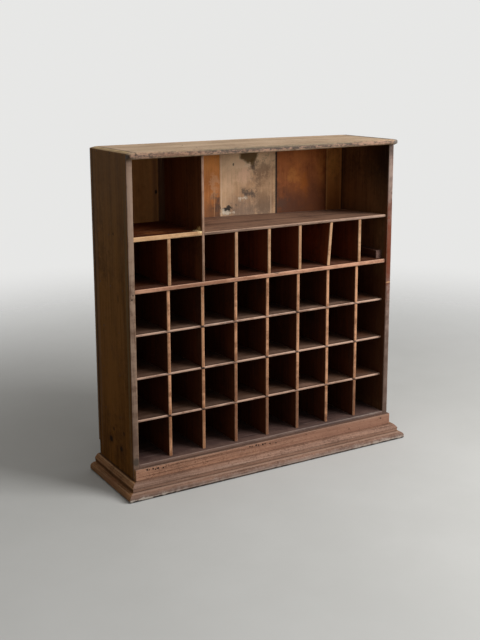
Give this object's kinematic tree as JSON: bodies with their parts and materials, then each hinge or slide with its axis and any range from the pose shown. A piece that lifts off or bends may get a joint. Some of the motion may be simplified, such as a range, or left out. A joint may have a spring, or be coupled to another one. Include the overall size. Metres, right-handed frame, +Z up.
{
  "type": "pigeonhole bookcase",
  "caption": "Antique pine pigeonhole bookcase: egg-crate grid of square cubbies under two open compartments, on a mitred moulded plinth.",
  "frame": {"origin": "on the floor, at the middle of the whole object's width and depth", "axes": "+X to the right as seen from the front, +Y from the open front to the back boards, +Z up"},
  "size_m": [1.0746, 0.3234, 1.066],
  "materials": {
    "side_wood": "dark stained pine, satin",
    "top_wood": "worn pine, matte",
    "back_wood": "rough pine boards, matte",
    "slat_wood": "sawn pine slats, matte",
    "shelf_wood": "dusty pine shelves, matte",
    "plinth_wood": "scratched pine moulding, satin"
  },
  "bodies": {
    "root": {"side_panel_left": "side_wood", "side_panel_right": "side_wood", "top_board": "top_wood", "bottom_board": "shelf_wood", "back_board_1": "back_wood", "back_board_2": "back_wood", "back_board_3": "back_wood", "back_board_4": "back_wood", "back_board_5": "back_wood", "grid_divider_1": "slat_wood", "grid_divider_2": "slat_wood", "grid_divider_3": "slat_wood", "grid_divider_4": "slat_wood", "grid_divider_5": "slat_wood", "grid_divider_6": "slat_wood", "grid_divider_7": "slat_wood", "grid_shelf_1": "shelf_wood", "grid_shelf_2": "shelf_wood", "grid_shelf_3": "shelf_wood", "main_shelf": "shelf_wood", "short_divider_1": "slat_wood", "short_divider_2": "slat_wood", "short_divider_3": "slat_wood", "short_divider_4": "slat_wood", "short_divider_5": "slat_wood", "short_divider_6": "slat_wood", "upper_partition": "slat_wood", "upper_left_shelf": "shelf_wood", "upper_right_shelf": "shelf_wood", "shelf_cleat": "shelf_wood", "plinth_fascia": "plinth_wood", "base_moulding_front": "plinth_wood", "base_moulding_left": "plinth_wood", "base_moulding_right": "plinth_wood", "base_cap_front": "plinth_wood", "base_cap_left": "plinth_wood", "base_cap_right": "plinth_wood", "bottom_cleat_left": "back_wood", "bottom_cleat_right": "back_wood", "glue_block_1": "back_wood", "glue_block_2": "back_wood", "glue_block_3": "back_wood"}
  },
  "joints": []
}
